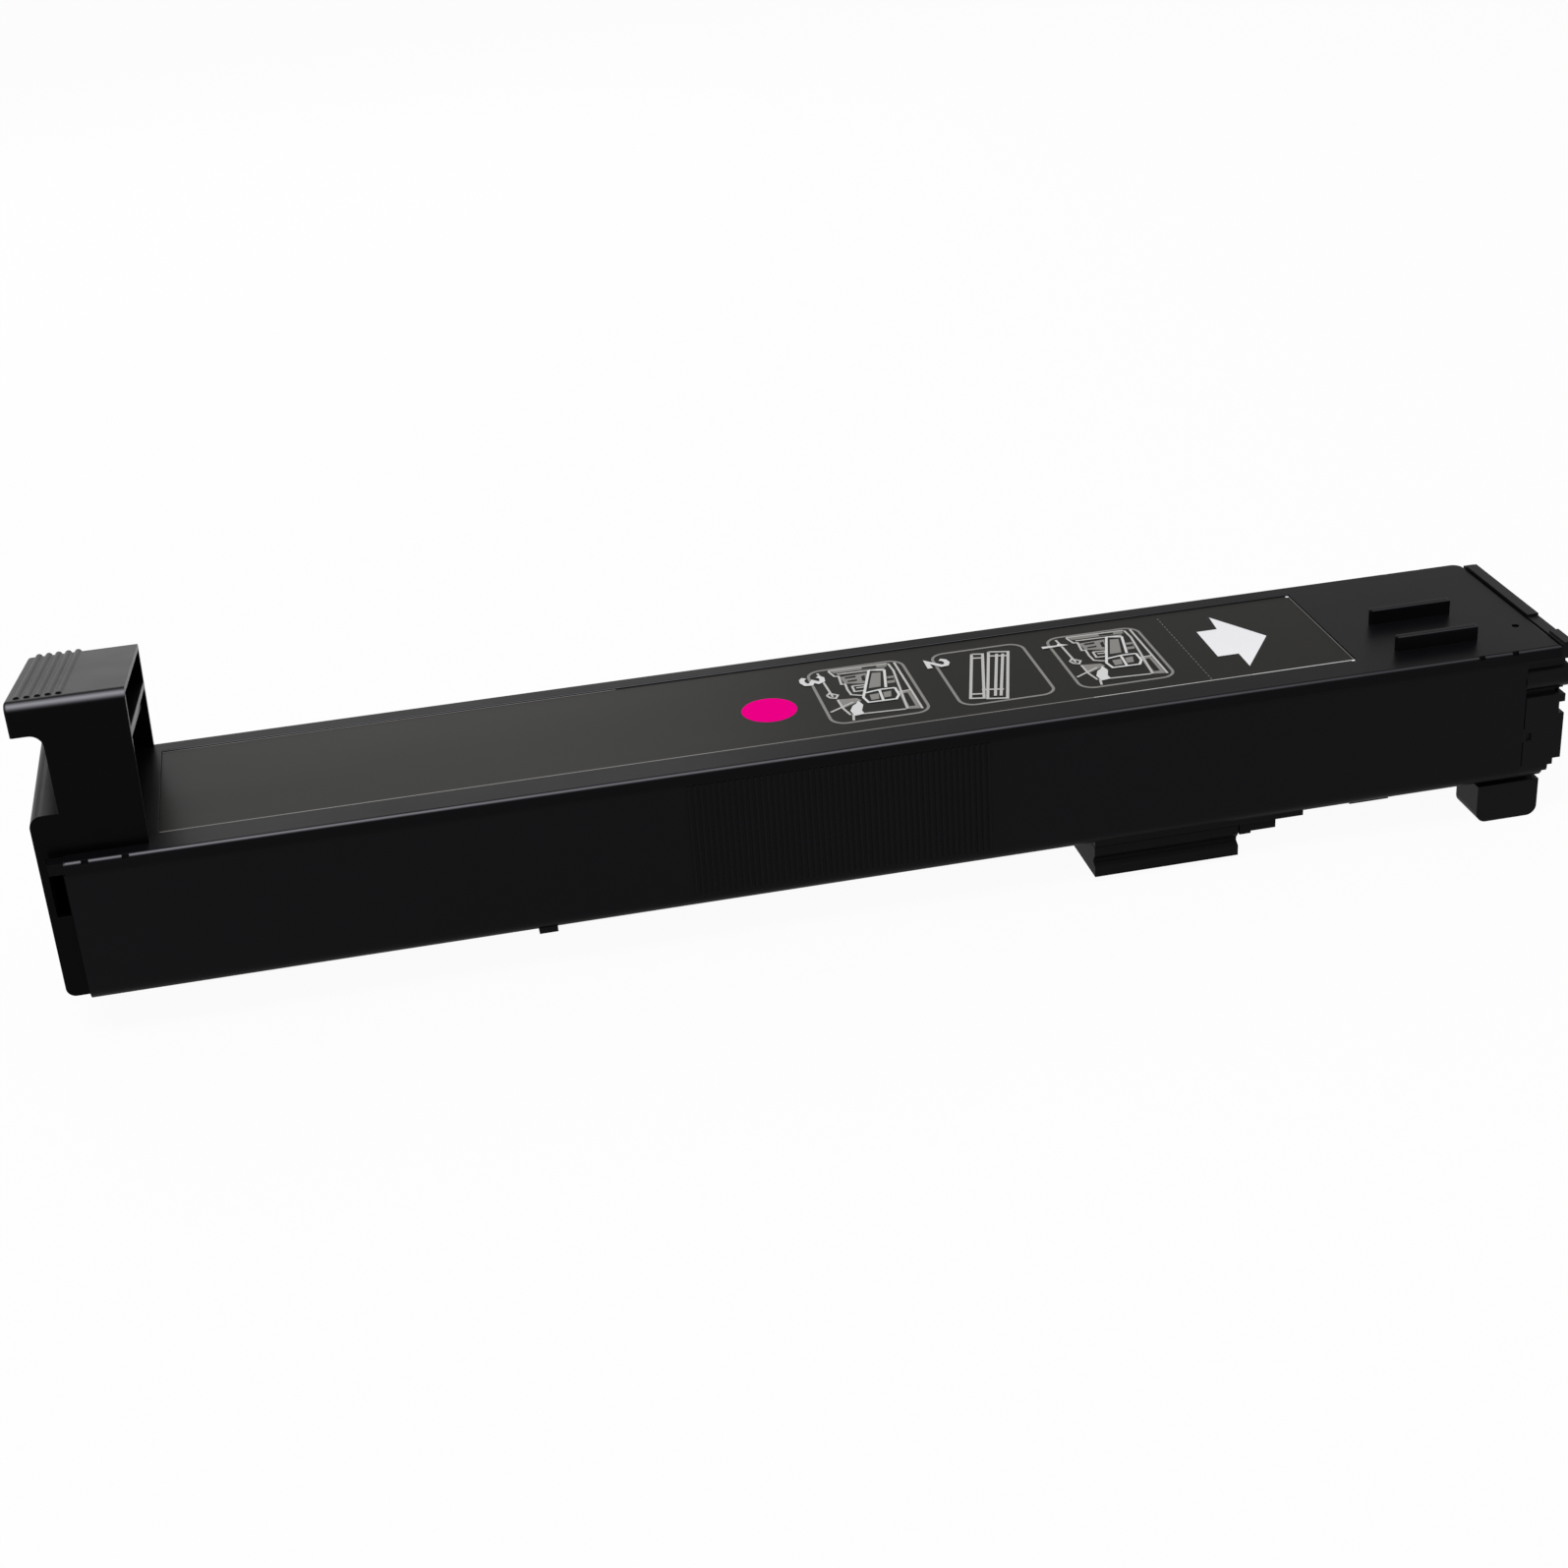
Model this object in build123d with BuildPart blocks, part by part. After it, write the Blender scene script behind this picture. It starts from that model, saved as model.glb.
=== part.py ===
import os
from math import acos, atan2, cos, degrees, pi, radians, sin, tan

from build123d import *

os.makedirs("parts", exist_ok=True)

# Driving dimensions, mm. Inside the file x runs from the handle end, y from the
# near long side and z from the underside of the hopper; at() moves them to the frame.
LENGTH = 500.0
WIDTH = 78.8
BODY_H = 49.4
FOOT_DROP = 14.5
WALL = 1.8

# Hopper, cover and end caps
SEAM_FRONT = 7.6
REAR_CAP_L = 16.0
COVER_SHORT = 4.2
CAP_SHORT = 1.4
COVER_H = 4.4
HOPPER_INSET = 0.4
HOPPER_R = 5.0
COVER_SKIN = 1.7
SEAM_REAR = LENGTH - REAR_CAP_L
COVER_END = LENGTH - COVER_SHORT
CAP_END = LENGTH - CAP_SHORT
HOPPER_TOP = BODY_H - COVER_H

# Label and the sunk panel that it lies in
RIM_NEAR = 11.6
RIM_FAR = 6.9
LABEL_X0 = 36.0
LABEL_X1 = SEAM_REAR - 56.6
LABEL_SINK = 0.6
LABEL_T = 0.15
LABEL_GAP = 0.15

# Handle, one moulding with the front cap
CAP_Y0 = 5.6
CAP_Y1 = WIDTH - HOPPER_INSET
CAP_WALL = 2.0
HANDLE_FOOT_X = 33.4
HANDLE_TOP_X = 35.0
HANDLE_H = 51.6
HANDLE_FALL = 15.4
TOP_NEAR = BODY_H + HANDLE_H
TOP_FAR = TOP_NEAR - HANDLE_FALL
GRIP_DEPTH = 9.2
LIP_DROP = 11.4
LIP_R = 4.0
HANDLE_EDGE_R = 3.0
GRIP_EDGE_R = 1.2
SHELF_Z = BODY_H + 14.0
PLATE_DROP = 13.4
SLOT_H = 16.4
GRIP_RIBS = 5
GRIP_RIB_X0 = 3.6
GRIP_RIB_PITCH = 3.05
GRIP_RIB_R = 1.2
GRIP_RIB_H = 0.55

# Gear train: wheel sizes, and the slopes of the two lines from axis to axis
MODULE = 1.0
TEETH_AGI = 34
TEETH_SMALL = 14
BACKLASH = 0.16
GEAR_T = 4.6
GEAR_X0 = SEAM_REAR + 2.0
AUGER_TO_IDLER = radians(42.9)
IDLER_TO_AGI = radians(8.3)
r_agi = TEETH_AGI * MODULE / 2
r_small = TEETH_SMALL * MODULE / 2

# Auger, idler and agitator axes
AUG_Y = 18.0
AUG_Z = 10.0
IDLER_Y = AUG_Y + 2 * r_small * cos(AUGER_TO_IDLER)
IDLER_Z = AUG_Z + 2 * r_small * sin(AUGER_TO_IDLER)
AGI_Y = IDLER_Y + (r_agi + r_small) * cos(IDLER_TO_AGI)
AGI_Z = IDLER_Z + (r_agi + r_small) * sin(IDLER_TO_AGI)
AUG_R = 6.2
FILM_GAP = 0.9
AGI_R = AGI_Z - WALL - FILM_GAP

# Shafts, bushes and the drive coupling
SHAFT_R = 3.0
AUG_SHAFT_R = 2.0
PIN_R = 2.0
BUSH_R = 6.0
AUG_BUSH_R = 4.5
RUN_FIT = 0.05
PRESS_FIT = 0.02
COUPLING_R = 8.6
COUPLING_END = LENGTH - 0.2
SOCKET_DEPTH = 4.6
SHAFT_END = COUPLING_END - SOCKET_DEPTH - 1.2

# Discharge opening and its shutter
PORT_X0 = 352.0
PORT_L = 24.0
PORT_W = 6.8
PORT_X1 = PORT_X0 + PORT_L
PORT_Y0 = AUG_Y - PORT_W / 2
PORT_Y1 = AUG_Y + PORT_W / 2
PAD_T = 1.0
SHUT_X0 = PORT_X0 - 19.0
SHUT_X1 = PORT_X1 + 7.5
SHUT_Y0 = 2.6
SHUT_Y1 = PORT_Y1 + 4.8
SHUT_TRAVEL = 35.0
SHUT_DROP = 12.4
SLIDE_GAP = 0.3
RAIL_DROP = 3.8
RAIL_LIP = 1.2

# Screws, as places in y and z
SCREW_R = 1.45
SCREW_HEAD_R = 2.8
BOSS_R = 3.4
screw_rear = [(12.0, HOPPER_TOP - 11.0), (WIDTH - 6.8, HOPPER_TOP - 7.0)]
screw_front = [(AUG_Y + 15.0, 8.6), (WIDTH - 9.8, HOPPER_TOP - 7.0)]

# Memory board and filling plug
CHIP_X = SEAM_REAR - 29.0
CHIP_Z = HOPPER_TOP - 14.0
CHIP_L = 28.0
CHIP_H = 14.0
CHIP_SINK = 1.0
PLUG_Y = 24.0
PLUG_Z = HOPPER_TOP - 16.0
PLUG_R = 10.0

slope = HANDLE_FALL / (CAP_Y1 - CAP_Y0)
slope_deg = degrees(atan2(HANDLE_FALL, CAP_Y1 - CAP_Y0))


def at(x, y, z):
    """A place given from the handle end, the near side and the hopper's underside."""
    return Location((x - LENGTH / 2, y - WIDTH / 2, z + FOOT_DROP))


def side_plane(y):
    """Plane across the width at y: drawn in x and z, extruded towards the near side."""
    origin = (-LENGTH / 2, y - WIDTH / 2, FOOT_DROP)
    return Plane(origin=origin, x_dir=(1, 0, 0), z_dir=(0, -1, 0))


def cross_plane(x):
    """Plane across the length at x: drawn in y and z, extruded towards the rear."""
    origin = (x - LENGTH / 2, -WIDTH / 2, FOOT_DROP)
    return Plane(origin=origin, x_dir=(0, 1, 0), z_dir=(1, 0, 0))


def level_plane(z):
    """Level plane at z: drawn in x and y, extruded upwards."""
    return Plane(origin=(-LENGTH / 2, -WIDTH / 2, z + FOOT_DROP))


def slab(x0, x1, y0, y1, z0, z1, mode=Mode.ADD):
    """A box between the given limits."""
    with Locations(at((x0 + x1) / 2, (y0 + y1) / 2, (z0 + z1) / 2)):
        Box(x1 - x0, y1 - y0, z1 - z0, mode=mode)


def rod(x0, x1, y, z, r, mode=Mode.ADD):
    """A round bar along the length."""
    with BuildSketch(cross_plane(x0)) as outline:
        with Locations((y, z)):
            Circle(r)
    extrude(outline.sketch, amount=x1 - x0, mode=mode)


def ring(x0, x1, y, z, r_out, r_in):
    """A round bar with a bore, along the length."""
    with BuildSketch(cross_plane(x0)) as outline:
        with Locations((y, z)):
            Circle(r_out)
            Circle(r_in, mode=Mode.SUBTRACT)
    extrude(outline.sketch, amount=x1 - x0)


def prism(plane, points, depth, mode=Mode.ADD):
    """A straight-sided outline drawn on a plane and extruded by depth."""
    with BuildSketch(plane) as outline:
        with BuildLine():
            Polyline(*points, close=True)
        make_face()
    extrude(outline.sketch, amount=depth, mode=mode)


def edges_at_x(x):
    """Edges of the active part whose middle lies at x."""
    x_frame = x - LENGTH / 2
    return edges().filter_by_position(Axis.X, x_frame - 0.01, x_frame + 0.01)


def drop_at(y):
    """How far the sloping handle top has come down at y."""
    return slope * (y - CAP_Y0)


def on_grip_rim(edge):
    """True for an edge on the top or the sides of the grip's front face."""
    centre = edge.center()
    below_top = TOP_NEAR + FOOT_DROP - drop_at(centre.Y + WIDTH / 2) - centre.Z
    return below_top < LIP_DROP - 2


def sloped_room(x0, x1, low, drop):
    """Room in the handle from a level floor, or one that slopes too, up to drop below the top."""
    y0 = CAP_Y0 + CAP_WALL
    y1 = CAP_Y1 - CAP_WALL
    high0 = TOP_NEAR - drop_at(y0) - drop
    high1 = TOP_NEAR - drop_at(y1) - drop
    low0 = low if low > 0 else TOP_NEAR - drop_at(y0) + low
    low1 = low if low > 0 else TOP_NEAR - drop_at(y1) + low
    points = [(y0, low0), (y1, low1), (y1, high1), (y0, high0)]
    prism(cross_plane(x0), points, x1 - x0, Mode.SUBTRACT)


# Toothed wheels with involute flanks
def flank_angle(r, r_base):
    """Involute angle at radius r."""
    a = acos(min(1.0, r_base / r))
    return tan(a) - a


def gear_outline(teeth, phase):
    """Outline of a toothed wheel about its own centre; phase is the angle of one tooth."""
    r_pitch = teeth * MODULE / 2
    r_base = r_pitch * cos(pi / 9)
    r_tip = r_pitch + 0.8 * MODULE
    r_root = r_pitch - 1.15 * MODULE
    half = pi / (2 * teeth) - BACKLASH / (2 * r_pitch)
    start = half + flank_angle(r_pitch, r_base)
    radii = [max(r_base, r_root + 0.1), r_pitch - 0.1, r_pitch + 0.4, r_tip]
    points = []
    for i in range(teeth):
        mid = phase + 2 * pi * i / teeth
        points.append((r_root, mid - start - 0.01))
        for r in radii:
            points.append((r, mid - start + flank_angle(r, r_base)))
        for r in reversed(radii):
            points.append((r, mid + start - flank_angle(r, r_base)))
        points.append((r_root, mid + start + 0.01))
    return [(r * cos(a), r * sin(a)) for r, a in points]


def wheel(x0, thickness, y, z, teeth, phase, bore):
    """A toothed wheel about an axis along the length."""
    points = [(y + u, z + v) for u, v in gear_outline(teeth, phase)]
    with BuildSketch(cross_plane(x0)) as outline:
        with BuildLine():
            Polyline(*points, close=True)
        make_face()
        with Locations((y, z)):
            Circle(bore, mode=Mode.SUBTRACT)
    extrude(outline.sketch, amount=thickness)


# Phases that put the three wheels in mesh
pitch_small = 2 * pi / TEETH_SMALL
phase_agi = IDLER_TO_AGI + pi
phase_idler = IDLER_TO_AGI + pitch_small / 2
turn = (AUGER_TO_IDLER + pi - phase_idler) / pitch_small
phase_auger = AUGER_TO_IDLER + (turn - 0.5) * pitch_small

# Hopper: the long trough that holds the toner, with the raised pad round the
# discharge opening, the screw bosses and the idler's pin
RIB_X0 = 198.0
RIB_PITCH = 1.96
RIB_T = 0.9
RIB_COUNT = 51
PAD_Y1 = SHUT_Y1 + 1.0
STOP_L = 13.5
NUB_X = 150.0
LOW_PAD_X = SEAM_REAR - 53.0
LOW_PAD_L = 14.0
LOW_PAD_T = 0.6
with BuildPart() as hopper:
    with BuildSketch(cross_plane(SEAM_FRONT)):
        with Locations((WIDTH / 2, HOPPER_TOP / 2)):
            Rectangle(WIDTH - 2 * HOPPER_INSET, HOPPER_TOP)
        fillet(vertices().group_by(Axis.Y)[0], HOPPER_R)
    extrude(amount=SEAM_REAR - SEAM_FRONT)
    slab(SHUT_X0, SHUT_X1 + STOP_L + 9.5, SHUT_Y0, PAD_Y1, -PAD_T, WALL - 0.2)
    slab(SHUT_X0 - SHUT_TRAVEL - 5, SHUT_X0, PORT_Y0 - 5.6, PAD_Y1, -PAD_T, WALL - 0.2)
    slab(NUB_X - 3, NUB_X + 3, 1.6, 5.4, -0.7, 1.4)
    pad_x0 = LOW_PAD_X - LOW_PAD_L / 2
    slab(pad_x0, pad_x0 + LOW_PAD_L, HOPPER_R - 0.6, 3 * HOPPER_R, -LOW_PAD_T, WALL - 0.2)
    with BuildSketch(cross_plane(SEAM_FRONT + WALL)):
        with Locations((WIDTH / 2, (HOPPER_TOP + WALL) / 2 + 1)):
            Rectangle(WIDTH - 2 * HOPPER_INSET - 2 * WALL, HOPPER_TOP - WALL + 2)
        fillet(vertices().group_by(Axis.Y)[0], HOPPER_R - WALL)
    extrude(amount=SEAM_REAR - SEAM_FRONT - 2 * WALL, mode=Mode.SUBTRACT)
    for i in range(RIB_COUNT):
        x = RIB_X0 + i * RIB_PITCH
        slab(x, x + RIB_T, 0.0, HOPPER_INSET + 0.2, HOPPER_R + 0.2, HOPPER_TOP - 0.6)
    slab(PORT_X0, PORT_X1, PORT_Y0, PORT_Y1, -PAD_T - 1, WALL + 1, Mode.SUBTRACT)
    rod(SEAM_FRONT - 1, SEAM_REAR + 1, AGI_Y, AGI_Z, BUSH_R, Mode.SUBTRACT)
    rod(SEAM_FRONT - 1, SEAM_REAR + 1, AUG_Y, AUG_Z, AUG_BUSH_R, Mode.SUBTRACT)
    rod(SEAM_FRONT - 1, SEAM_FRONT + WALL + 1, PLUG_Y, PLUG_Z, PLUG_R, Mode.SUBTRACT)
    rod(SEAM_REAR, GEAR_X0 - 0.4, IDLER_Y, IDLER_Z, 2 * PIN_R)
    rod(SEAM_REAR, GEAR_X0 + GEAR_T + 5, IDLER_Y, IDLER_Z, PIN_R)
    for y, z in screw_rear:
        rod(SEAM_REAR - WALL, CAP_END - WALL - 0.1, y, z, BOSS_R)
        rod(SEAM_REAR, CAP_END - 1, y, z, SCREW_R + PRESS_FIT, Mode.SUBTRACT)
    for y, z in screw_front:
        rod(CAP_WALL + 0.6, SEAM_FRONT, y, z, BOSS_R)
        rod(CAP_WALL, SEAM_FRONT + 0.6, y, z, SCREW_R + PRESS_FIT, Mode.SUBTRACT)
    chip_y = WIDTH - HOPPER_INSET - CHIP_SINK
    chip_x0 = CHIP_X - CHIP_L / 2
    chip_x1 = CHIP_X + CHIP_L / 2
    slab(chip_x0, chip_x1, chip_y, WIDTH, CHIP_Z - CHIP_H / 2, CHIP_Z + CHIP_H / 2, Mode.SUBTRACT)
hopper.part.label = "hopper"
export_step(hopper.part, "parts/hopper.step")

# Top cover: welded on the hopper, with the sunk panel for the label, the two
# guide ribs of the rear end, the small snap notches in both rims and, hidden
# underneath, three cross ribs, one of them over the discharge port
GUIDE_X0 = SEAM_REAR - 42.0
GUIDE_X1 = SEAM_REAR - 12.8
GUIDE_T = 2.6
GUIDE_H = 5.5
NOTCH_W = 2.2
COVER_EDGE_R = 1.2
RIM_EDGE_R = 0.4
COVER_RIBS = 3
COVER_RIB_T = 2.0
COVER_RIB_PITCH = 110.0
with BuildPart() as top_cover:
    with BuildSketch(level_plane(HOPPER_TOP)):
        with Locations(((8.0 + COVER_END) / 2, WIDTH / 2)):
            Rectangle(COVER_END - 8.0, WIDTH)
        far_rear = vertices().group_by(Axis.X)[-1].sort_by(Axis.Y)[-1]
        fillet(far_rear, 4.0)
    extrude(amount=BODY_H - HOPPER_TOP)
    fillet(edges().group_by(Axis.Z)[-1].filter_by(Axis.X), COVER_EDGE_R)
    slab(3.3, 8.5, 0.3, CAP_Y0 - SLIDE_GAP, HOPPER_TOP + 0.6, BODY_H - 0.2)
    skin = BODY_H - LABEL_SINK - COVER_SKIN
    weld_x = SEAM_REAR - WALL / 2
    slab(SEAM_FRONT + 4, weld_x - 1.4, 3.2, WIDTH - 3.2, HOPPER_TOP - 1, skin, Mode.SUBTRACT)
    slab(weld_x + 1.4, COVER_END - 3, 3.2, WIDTH - 3.2, HOPPER_TOP - 1, skin, Mode.SUBTRACT)
    for n in range(COVER_RIBS):
        x = (PORT_X0 + PORT_X1) / 2 - n * COVER_RIB_PITCH
        slab(x - COVER_RIB_T / 2, x + COVER_RIB_T / 2, 3.1, WIDTH - 3.1, HOPPER_TOP, skin + 0.1)
    y1 = WIDTH - RIM_FAR
    slab(LABEL_X0, LABEL_X1, RIM_NEAR, y1, BODY_H - LABEL_SINK, BODY_H + 1, Mode.SUBTRACT)
    rim_z = BODY_H + FOOT_DROP
    rims = edges().filter_by(Axis.X).filter_by_position(Axis.Z, rim_z - 0.01, rim_z + 0.01)
    inner = rims.filter_by(lambda e: abs(e.length - (LABEL_X1 - LABEL_X0)) < 0.01)
    fillet(inner, RIM_EDGE_R)
    for shift, y in ((0.0, 14.3), (1.0, 38.0)):
        with BuildSketch(level_plane(BODY_H)):
            with Locations(((GUIDE_X0 + GUIDE_X1) / 2 + shift, y)):
                Rectangle(GUIDE_X1 - GUIDE_X0, GUIDE_T)
            fillet(vertices().group_by(Axis.X)[0], GUIDE_T / 2 - 0.01)
        extrude(amount=GUIDE_H)
    fillet(edges().group_by(Axis.Z)[-1], 0.6)
    for x in (14.3, 26.3, SEAM_REAR - 17.0, SEAM_REAR - 5.0):
        for y in (0.0, WIDTH):
            slab(x - NOTCH_W / 2, x + NOTCH_W / 2, y - 1, y + 1, BODY_H - 1.3, BODY_H + 1, Mode.SUBTRACT)
    with BuildSketch(level_plane(BODY_H - 1.4)):
        with Locations((SEAM_REAR + 4.7, 20.3)):
            Circle(1.3)
    extrude(amount=3, mode=Mode.SUBTRACT)
top_cover.part.label = "top_cover"
export_step(top_cover.part, "parts/top_cover.step")

# Label, let into the sunk panel
with BuildPart() as label:
    z0 = BODY_H - LABEL_SINK
    y0 = RIM_NEAR + LABEL_GAP
    y1 = WIDTH - RIM_FAR - LABEL_GAP
    slab(LABEL_X0 + LABEL_GAP, LABEL_X1 - LABEL_GAP, y0, y1, z0, z0 + LABEL_T)
label.part.label = "label"
export_step(label.part, "parts/label.step")

# Front cap: end plate and hollow handle in one moulding, open on the side that
# faces the cover, with a finger recess under the grip
with BuildPart() as front_cap:
    with BuildSketch(side_plane(CAP_Y1)):
        with BuildLine():
            Polyline(
                (0, 0.6),
                (SEAM_FRONT, 0.6),
                (SEAM_FRONT, BODY_H),
                (HANDLE_FOOT_X, BODY_H),
                (HANDLE_TOP_X, TOP_NEAR + 2),
                (0, TOP_NEAR + 2),
                close=True,
            )
        make_face()
        fillet(vertices().sort_by(Axis.X)[0:2].sort_by(Axis.Y)[0], 3.0)
    extrude(amount=CAP_Y1 - CAP_Y0)
    with BuildSketch(cross_plane(-1)):
        with BuildLine():
            Polyline((CAP_Y0, -1), (CAP_Y1, -1), (CAP_Y1, TOP_FAR), (CAP_Y0, TOP_NEAR), close=True)
        make_face()
        fillet(vertices().sort_by(Axis.Y)[-1], HANDLE_EDGE_R)
        fillet(vertices().sort_by(Axis.Y)[-3], HANDLE_EDGE_R)
    extrude(amount=HANDLE_TOP_X + 4, mode=Mode.INTERSECT)
    near_top = TOP_NEAR - LIP_DROP
    far_top = near_top - drop_at(CAP_Y1)
    points = [(CAP_Y0 - 1, SHELF_Z), (CAP_Y1 + 1, SHELF_Z)]
    points += [(CAP_Y1 + 1, far_top - slope), (CAP_Y0 - 1, near_top + slope)]
    prism(cross_plane(-6), points, GRIP_DEPTH + 6, Mode.SUBTRACT)
    fillet(edges_at_x(GRIP_DEPTH).sort_by(Axis.Z)[-1], LIP_R)
    shelf_z = SHELF_Z + FOOT_DROP
    fillet(edges_at_x(0).filter_by(on_grip_rim), GRIP_EDGE_R)
    front_edges = edges_at_x(0).filter_by(Axis.Y)
    fillet(front_edges.filter_by_position(Axis.Z, shelf_z - 0.1, shelf_z + 0.1), LIP_R)
    sloped_room(CAP_WALL, GRIP_DEPTH + CAP_WALL, -LIP_DROP + CAP_WALL, CAP_WALL)
    sloped_room(GRIP_DEPTH + CAP_WALL - 0.1, HANDLE_TOP_X + 1, -PLATE_DROP, CAP_WALL)
    sloped_room(GRIP_DEPTH + CAP_WALL, HANDLE_TOP_X + 1, BODY_H - 1, PLATE_DROP + CAP_WALL)
    lower = SHELF_Z - CAP_WALL
    y0 = CAP_Y0 + CAP_WALL
    y1 = CAP_Y1 - CAP_WALL
    slab(CAP_WALL + 0.6, GRIP_DEPTH + CAP_WALL + 1, y0, y1, 2.6, lower, Mode.SUBTRACT)
    slab(2.4, 6.6, CAP_Y0 - 1, CAP_Y0 + 3.6, HOPPER_TOP - SLOT_H, HOPPER_TOP - 0.4, Mode.SUBTRACT)
    slab(2.6, 12, CAP_Y0 - 1, CAP_Y0 + SLIDE_GAP, HOPPER_TOP, BODY_H, Mode.SUBTRACT)
    slab(SEAM_FRONT - 0.1, 12, -1, WIDTH + 1, HOPPER_TOP - SLOT_H, BODY_H, Mode.SUBTRACT)
    for i in range(GRIP_RIBS):
        x = GRIP_RIB_X0 + GRIP_RIB_PITCH * i
        y_mid = (CAP_Y0 + 5 + CAP_Y1) / 2
        z_mid = TOP_NEAR - drop_at(y_mid)
        sunk = GRIP_RIB_H - GRIP_RIB_R
        rib_l = (CAP_Y1 - CAP_Y0 - 5.6) / cos(radians(slope_deg))
        with Locations(at(x, y_mid, z_mid) * Rotation(-slope_deg, 0, 0) * Pos(0, 0, sunk)):
            Cylinder(GRIP_RIB_R, rib_l, rotation=(90, 0, 0))
    stay_drop = PLATE_DROP + CAP_WALL + 4.4
    z_near = TOP_NEAR - drop_at(y0) - stay_drop
    z_far = TOP_NEAR - drop_at(y1) - stay_drop
    stay = [(y0 - 0.5, z_near), (y1 + 0.5, z_far), (y1 + 0.5, z_far - 1.3), (y0 - 0.5, z_near - 1.3)]
    prism(cross_plane(GRIP_DEPTH + CAP_WALL - 0.5), stay, HANDLE_FOOT_X - GRIP_DEPTH - 2.7)
    for y, z in screw_front:
        rod(-1, 1.7, y, z, SCREW_HEAD_R + 0.3, Mode.SUBTRACT)
        rod(-1, CAP_WALL + 1.0, y, z, SCREW_R + 0.3, Mode.SUBTRACT)
front_cap.part.label = "front_cap"
export_step(front_cap.part, "parts/front_cap.step")

# Rear cap: closes the gear case, with the round-nosed guide bar, the stepped
# end and the raised strip behind the cover
BAR_R = 4.2
SEAM_GAP = 0.5
groove_y = HOPPER_INSET + SEAM_GAP
with BuildPart() as rear_cap:
    slab(SEAM_REAR, CAP_END, HOPPER_INSET, WIDTH - HOPPER_INSET, 0, HOPPER_TOP)
    long_low = edges().filter_by(Axis.X).group_by(Axis.Z)[0]
    fillet(long_low, HOPPER_R)
    strip_x = COVER_END + 0.2
    slab(strip_x, LENGTH, HOPPER_INSET, WIDTH - 3.0, HOPPER_TOP, BODY_H)
    slab(strip_x, LENGTH, 26.0, WIDTH - 5.0, BODY_H, BODY_H + 0.8)
    slab(strip_x + 0.7, LENGTH, HOPPER_INSET + 0.2, 11.6, BODY_H, BODY_H + 0.8)
    for step_x, z0, z1 in ((6.2, -1.0, 3.0), (4.5, 2.9, 5.2), (2.8, 5.1, 7.4)):
        slab(CAP_END - step_x, CAP_END + 1, -1, WIDTH + 1, z0, z1, Mode.SUBTRACT)
    slab(CAP_END - 2.0, CAP_END + 1, -1, 5.0, HOPPER_TOP - 20.8, HOPPER_TOP - 16.6, Mode.SUBTRACT)
    slab(CAP_END - 3.0, CAP_END + 1, -1, 5.0, HOPPER_TOP - 13.8, HOPPER_TOP - 12.2, Mode.SUBTRACT)
    slab(SEAM_REAR - 1, LENGTH + 1, -1, 2.6, HOPPER_TOP - 13.6, HOPPER_TOP - 0.6, Mode.SUBTRACT)
    bar_z = HOPPER_TOP - 7.8
    with BuildSketch(cross_plane(SEAM_REAR)):
        with Locations((BAR_R, bar_z)):
            Circle(BAR_R)
            with Locations((1.0, 0)):
                Rectangle(3.0, 2 * BAR_R)
    extrude(amount=LENGTH - SEAM_REAR)
    for z0, z1 in ((HOPPER_R + 1, 15.0), (20.0, HOPPER_TOP - 13.6)):
        slab(SEAM_REAR - 1, SEAM_REAR + SEAM_GAP, -1, groove_y, z0, z1, Mode.SUBTRACT)
        slab(SEAM_REAR - 1, SEAM_REAR + SEAM_GAP, WIDTH - groove_y, WIDTH + 1, z0, z1, Mode.SUBTRACT)
    slab(SEAM_REAR - 1, SEAM_REAR + SEAM_GAP, 6, WIDTH - 6, -1, SEAM_GAP, Mode.SUBTRACT)
    slab(SEAM_REAR + 1.2, SEAM_REAR + 3.2, -1, groove_y + 0.2, 15.4, 18.2, Mode.SUBTRACT)
    room_y0 = WALL + 3
    room_y1 = WIDTH - WALL - HOPPER_INSET
    wheel_x = GEAR_X0 + GEAR_T + 0.2
    inner_x = CAP_END - WALL
    slab(SEAM_REAR - 1, wheel_x, room_y0, room_y1, WALL, HOPPER_TOP + 1, Mode.SUBTRACT)
    slab(SEAM_REAR - 1, inner_x, room_y0, room_y1, 9.2, HOPPER_TOP - 0.01, Mode.SUBTRACT)
    rod(inner_x - 1, CAP_END + 1, AGI_Y, AGI_Z, COUPLING_R + 0.7, Mode.SUBTRACT)
    for y, z in screw_rear:
        rod(CAP_END - 1.0, CAP_END + 2, y, z, SCREW_HEAD_R + 0.3, Mode.SUBTRACT)
        rod(inner_x - 1, CAP_END + 2, y, z, SCREW_R + 0.3, Mode.SUBTRACT)
rear_cap.part.label = "rear_cap"
export_step(rear_cap.part, "parts/rear_cap.step")

# Feet under the rear end, near and far
FOOT_X1 = CAP_END - 6.2
FOOT_L = 22.2
FOOT_W = 16.0
FOOT_R = 3.6
FOOT_Y0 = 2.4
FOOT_GAP = 0.8
with BuildPart() as rear_feet:
    foot_x0 = FOOT_X1 - FOOT_L
    foot_h = FOOT_DROP - FOOT_GAP
    for y0 in (FOOT_Y0, WIDTH - FOOT_Y0 - FOOT_W):
        with BuildSketch(side_plane(y0 + FOOT_W)):
            with Locations((FOOT_X1 - FOOT_L / 2, (-FOOT_DROP - FOOT_GAP) / 2)):
                Rectangle(FOOT_L, foot_h)
            fillet(vertices().group_by(Axis.Y)[0], FOOT_R)
        extrude(amount=FOOT_W)
        slab(foot_x0 + WALL, SEAM_REAR - 0.4, y0 + 3.8, y0 + FOOT_W - 3.8, -FOOT_GAP - 0.2, 0.0)
rear_feet.part.label = "rear_feet"
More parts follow.
